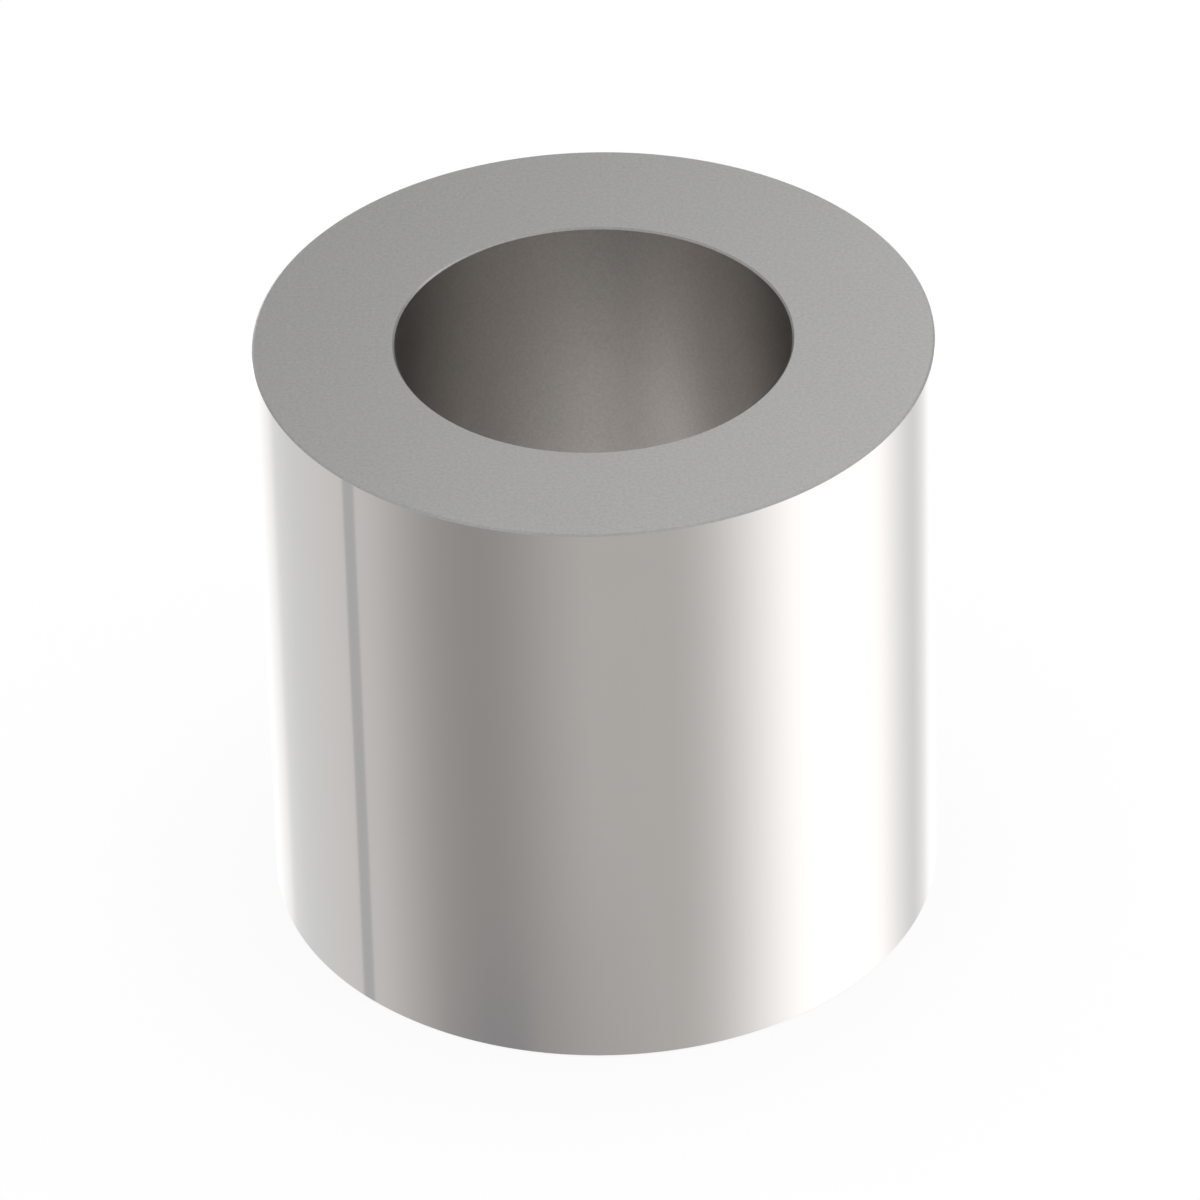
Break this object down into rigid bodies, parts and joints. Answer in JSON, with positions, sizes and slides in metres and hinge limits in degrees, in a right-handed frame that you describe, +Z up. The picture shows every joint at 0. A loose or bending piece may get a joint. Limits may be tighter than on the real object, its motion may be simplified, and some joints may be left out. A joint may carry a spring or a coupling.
{
  "type": "plain bushing",
  "caption": "Thick-walled plain cylindrical bushing in bare steel, turned from solid bar, with a straight through bore, flat end faces and crisp, barely broken edges.",
  "frame": {"origin": "centre of the foot, the lower end face, on the bore's axis", "axes": "+Z up along the bore's axis, towards the upper end face; the part is round, so X and Y are free"},
  "size_m": [0.018, 0.018, 0.017],
  "materials": {
    "steel": "finely ground, satin end faces"
  },
  "bodies": {
    "root": {"bushing": "steel"}
  },
  "joints": []
}
